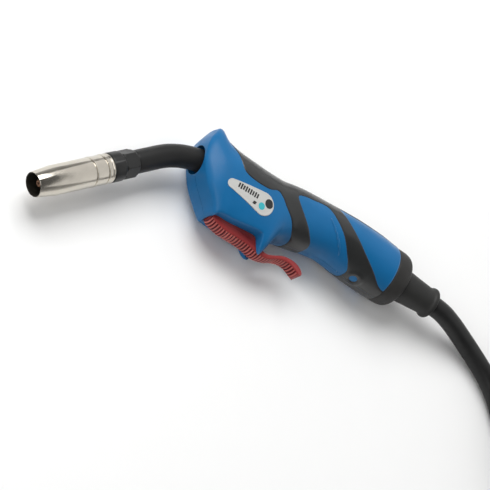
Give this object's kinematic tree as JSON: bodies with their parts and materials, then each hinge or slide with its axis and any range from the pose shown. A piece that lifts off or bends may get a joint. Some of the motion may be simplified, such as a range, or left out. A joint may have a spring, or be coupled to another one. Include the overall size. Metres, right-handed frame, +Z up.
{
  "type": "mig welding torch",
  "caption": "Swan-neck welding torch with a two-shell handle, soft grips, lever trigger, slide-off gas nozzle, ball swivel, coiled cable and central plug.",
  "frame": {"origin": "middle of the base of the torch lying on its right cheek, measured without the free cable and plug", "axes": "+X back along the handle, towards the cable; +Y the torch's own up, away from the trigger; +Z up, the torch's left side"},
  "size_m": [0.6072, 0.1914, 0.0434],
  "materials": {
    "nickel": "bright nickel plate",
    "copper": "turned copper",
    "brass": "turned brass",
    "steel": "zinc plated steel",
    "black_plastic": "satin black moulding",
    "neck_rubber": "smooth dark rubber",
    "cable_rubber": "smooth black cable jacket",
    "blue_plastic": "satin blue moulding",
    "soft_grip": "soft charcoal overmould",
    "label_white": "printed white plate without text",
    "trigger_red": "satin dark red moulding",
    "collar_plastic": "satin charcoal moulding",
    "relief_rubber": "soft black rubber",
    "strap": "woven hook and loop strap"
  },
  "bodies": {
    "handle": {"tip_holder": "brass", "contact_tip": "copper", "nozzle_spring": "steel", "neck_nut": "black_plastic", "neck_tube": "copper", "neck_sleeve": "neck_rubber", "neck_socket": "brass", "cable_crimp": "brass", "handle_cable": "cable_rubber", "left_shell": "blue_plastic", "right_shell": "blue_plastic", "left_grip": "soft_grip", "right_grip": "soft_grip", "label_plate": "label_white", "shell_screw_1": "steel", "shell_screw_2": "steel", "shell_screw_3": "steel", "trigger_pin": "steel", "trigger_spring": "steel", "switch_body": "black_plastic", "switch_lead": "cable_rubber", "rear_collar": "collar_plastic"},
    "nozzle": {"gas_nozzle": "nickel"},
    "trigger_lever": {"trigger": "trigger_red"},
    "switch_button": {"switch_plunger": "steel"},
    "cable_end": {"swivel_ball": "black_plastic", "strain_relief": "relief_rubber", "relief_cable": "cable_rubber", "torch_cable": "cable_rubber", "cable_coil": "cable_rubber", "coil_tie_1": "strap", "coil_tie_2": "strap", "plug_lead": "cable_rubber", "plug_boot": "relief_rubber", "plug_housing_top": "black_plastic", "plug_housing_bottom": "black_plastic", "plug_screw_1": "steel", "plug_screw_2": "steel", "plug_body": "brass", "plug_tube": "steel"},
    "lock_nut": {"plug_nut": "black_plastic"},
    "control_pin_1": {"plug_pin_1": "brass"},
    "control_pin_2": {"plug_pin_2": "brass"}
  },
  "joints": [
    {"name": "nozzle_pull", "type": "slide", "parent": "handle", "child": "nozzle", "axis": [-0.749, -0.6626, 0], "range_m": [0, 0.06]},
    {"name": "trigger_press", "type": "hinge", "parent": "handle", "child": "trigger_lever", "pos_m": [-0.02182, -0.00071, 0.0186], "axis": [0, 0, 1], "range_deg": [0, 5], "stiffness_Nm_per_rad": 0.4, "springref_deg": -6.88, "deforming": ["trigger_spring"]},
    {"name": "plunger_press", "type": "slide", "parent": "handle", "child": "switch_button", "axis": [0, 1, 0], "range_m": [0, 0.0019]},
    {"name": "cable_swivel", "type": "hinge", "parent": "handle", "child": "cable_end", "pos_m": [0.10618, 0.02989, 0.0186], "axis": [0, 0, 1], "range_deg": [-9, 9]},
    {"name": "lock_nut_turn", "type": "hinge", "parent": "cable_end", "child": "lock_nut", "pos_m": [0.44088, 0.07609, 0.0218], "axis": [0, 1, 0], "continuous": true},
    {"name": "pin_1_press", "type": "slide", "parent": "cable_end", "child": "control_pin_1", "axis": [0, -1, 0], "range_m": [0, 0.003], "stiffness_N_per_m": 300, "springref_m": -0.002},
    {"name": "pin_2_press", "type": "slide", "parent": "cable_end", "child": "control_pin_2", "axis": [0, -1, 0], "range_m": [0, 0.003], "stiffness_N_per_m": 300, "springref_m": -0.002}
  ],
  "couplings": [
    {"joint": "plunger_press", "follows": "trigger_press", "m_per_rad": 0.0205}
  ]
}
